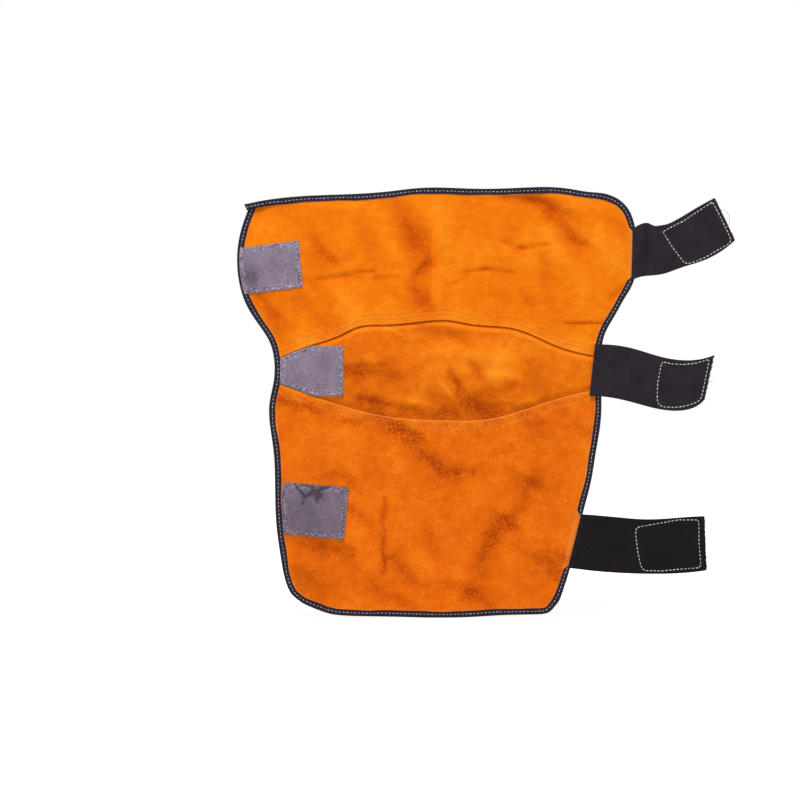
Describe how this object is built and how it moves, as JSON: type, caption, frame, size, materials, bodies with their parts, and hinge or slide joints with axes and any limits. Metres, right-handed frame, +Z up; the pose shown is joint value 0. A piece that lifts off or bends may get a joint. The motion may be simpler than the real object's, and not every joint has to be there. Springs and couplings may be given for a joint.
{
  "type": "welding leg guard",
  "caption": "Split-leather welding leg guard for thigh, knee and shin, with a bound edge, elastic straps and loop patches, that wraps round the leg and fastens behind it.",
  "frame": {"origin": "the centre of the knee gusset on the guard's centre line, at the leather's back face, which lies on the knee", "axes": "+X to the wearer's strap side as the outer face is seen from the front, +Y towards the leg, +Z up the leg"},
  "size_m": [0.6359, 0.0071, 0.5502],
  "materials": {
    "suede": "split leather, suede side out, matt",
    "binding_tape": "woven tape, matt",
    "thread": "twisted sewing thread",
    "seam_thread": "twisted sewing thread, close to the leather's colour",
    "loop": "brushed loop pile",
    "elastic": "ribbed woven elastic, matt",
    "hook": "moulded micro hooks on a woven base"
  },
  "bodies": {
    "centre_strip": {"thigh_panel_centre": "suede", "knee_panel_centre": "suede", "shin_panel_centre": "suede", "edge_binding_centre": "binding_tape", "binding_thread_centre": "thread", "seam_threads_centre": "seam_thread"},
    "left_wing": {"thigh_panel_left": "suede", "knee_panel_left": "suede", "shin_panel_left": "suede", "edge_binding_left": "binding_tape", "binding_thread_left": "thread", "seam_threads_left": "seam_thread", "upper_loop_patch": "loop", "middle_loop_patch": "loop", "lower_loop_patch": "loop", "upper_patch_thread": "thread", "middle_patch_thread": "thread", "lower_patch_thread": "thread"},
    "right_wing": {"thigh_panel_right": "suede", "knee_panel_right": "suede", "shin_panel_right": "suede", "edge_binding_right": "binding_tape", "binding_thread_right": "thread", "seam_threads_right": "seam_thread", "upper_strap_root": "elastic", "middle_strap_root": "elastic", "lower_strap_root": "elastic", "upper_root_thread": "thread", "middle_root_thread": "thread", "lower_root_thread": "thread"},
    "upper_band": {"upper_strap_band": "elastic"},
    "upper_tip": {"upper_strap_tip": "elastic", "upper_hook_pad": "hook", "upper_tip_thread": "thread"},
    "middle_band": {"middle_strap_band": "elastic"},
    "middle_tip": {"middle_strap_tip": "elastic", "middle_hook_pad": "hook", "middle_tip_thread": "thread"},
    "lower_band": {"lower_strap_band": "elastic"},
    "lower_tip": {"lower_strap_tip": "elastic", "lower_hook_pad": "hook", "lower_tip_thread": "thread"}
  },
  "joints": [
    {"name": "left_wing_wrap", "type": "hinge", "parent": "centre_strip", "child": "left_wing", "pos_m": [-0.065, 0.004, 0], "axis": [0, 0, -1], "range_deg": [0, 108]},
    {"name": "right_wing_wrap", "type": "hinge", "parent": "centre_strip", "child": "right_wing", "pos_m": [0.065, 0.004, 0], "axis": [0, 0, 1], "range_deg": [0, 108]},
    {"name": "upper_strap_swing", "type": "hinge", "parent": "right_wing", "child": "upper_band", "pos_m": [0.2715, -0.0047, 0.152], "axis": [-0.2588, 0, 0.9659], "range_deg": [-140, 76.8]},
    {"name": "upper_strap_tip", "type": "hinge", "parent": "upper_band", "child": "upper_tip", "pos_m": [0.295, -0.0047, 0.155], "axis": [-0.1045, 0, 0.9945], "range_deg": [-40, 68.5]},
    {"name": "middle_strap_swing", "type": "hinge", "parent": "right_wing", "child": "middle_band", "pos_m": [0.226, -0.0047, -0.004], "axis": [0.0872, 0, 0.9962], "range_deg": [-140, 88.3]},
    {"name": "middle_strap_tip", "type": "hinge", "parent": "middle_band", "child": "middle_tip", "pos_m": [0.286, -0.0047, -0.014], "axis": [0.0523, 0, 0.9986], "range_deg": [-40, 57.5]},
    {"name": "lower_strap_swing", "type": "hinge", "parent": "right_wing", "child": "lower_band", "pos_m": [0.192, -0.0047, -0.221], "axis": [0.2419, 0, 0.9703], "range_deg": [-140, 50.4]},
    {"name": "lower_strap_tip", "type": "hinge", "parent": "lower_band", "child": "lower_tip", "pos_m": [0.2585, -0.0047, -0.225], "axis": [0.0872, 0, 0.9962], "range_deg": [-40, 91.8]}
  ]
}
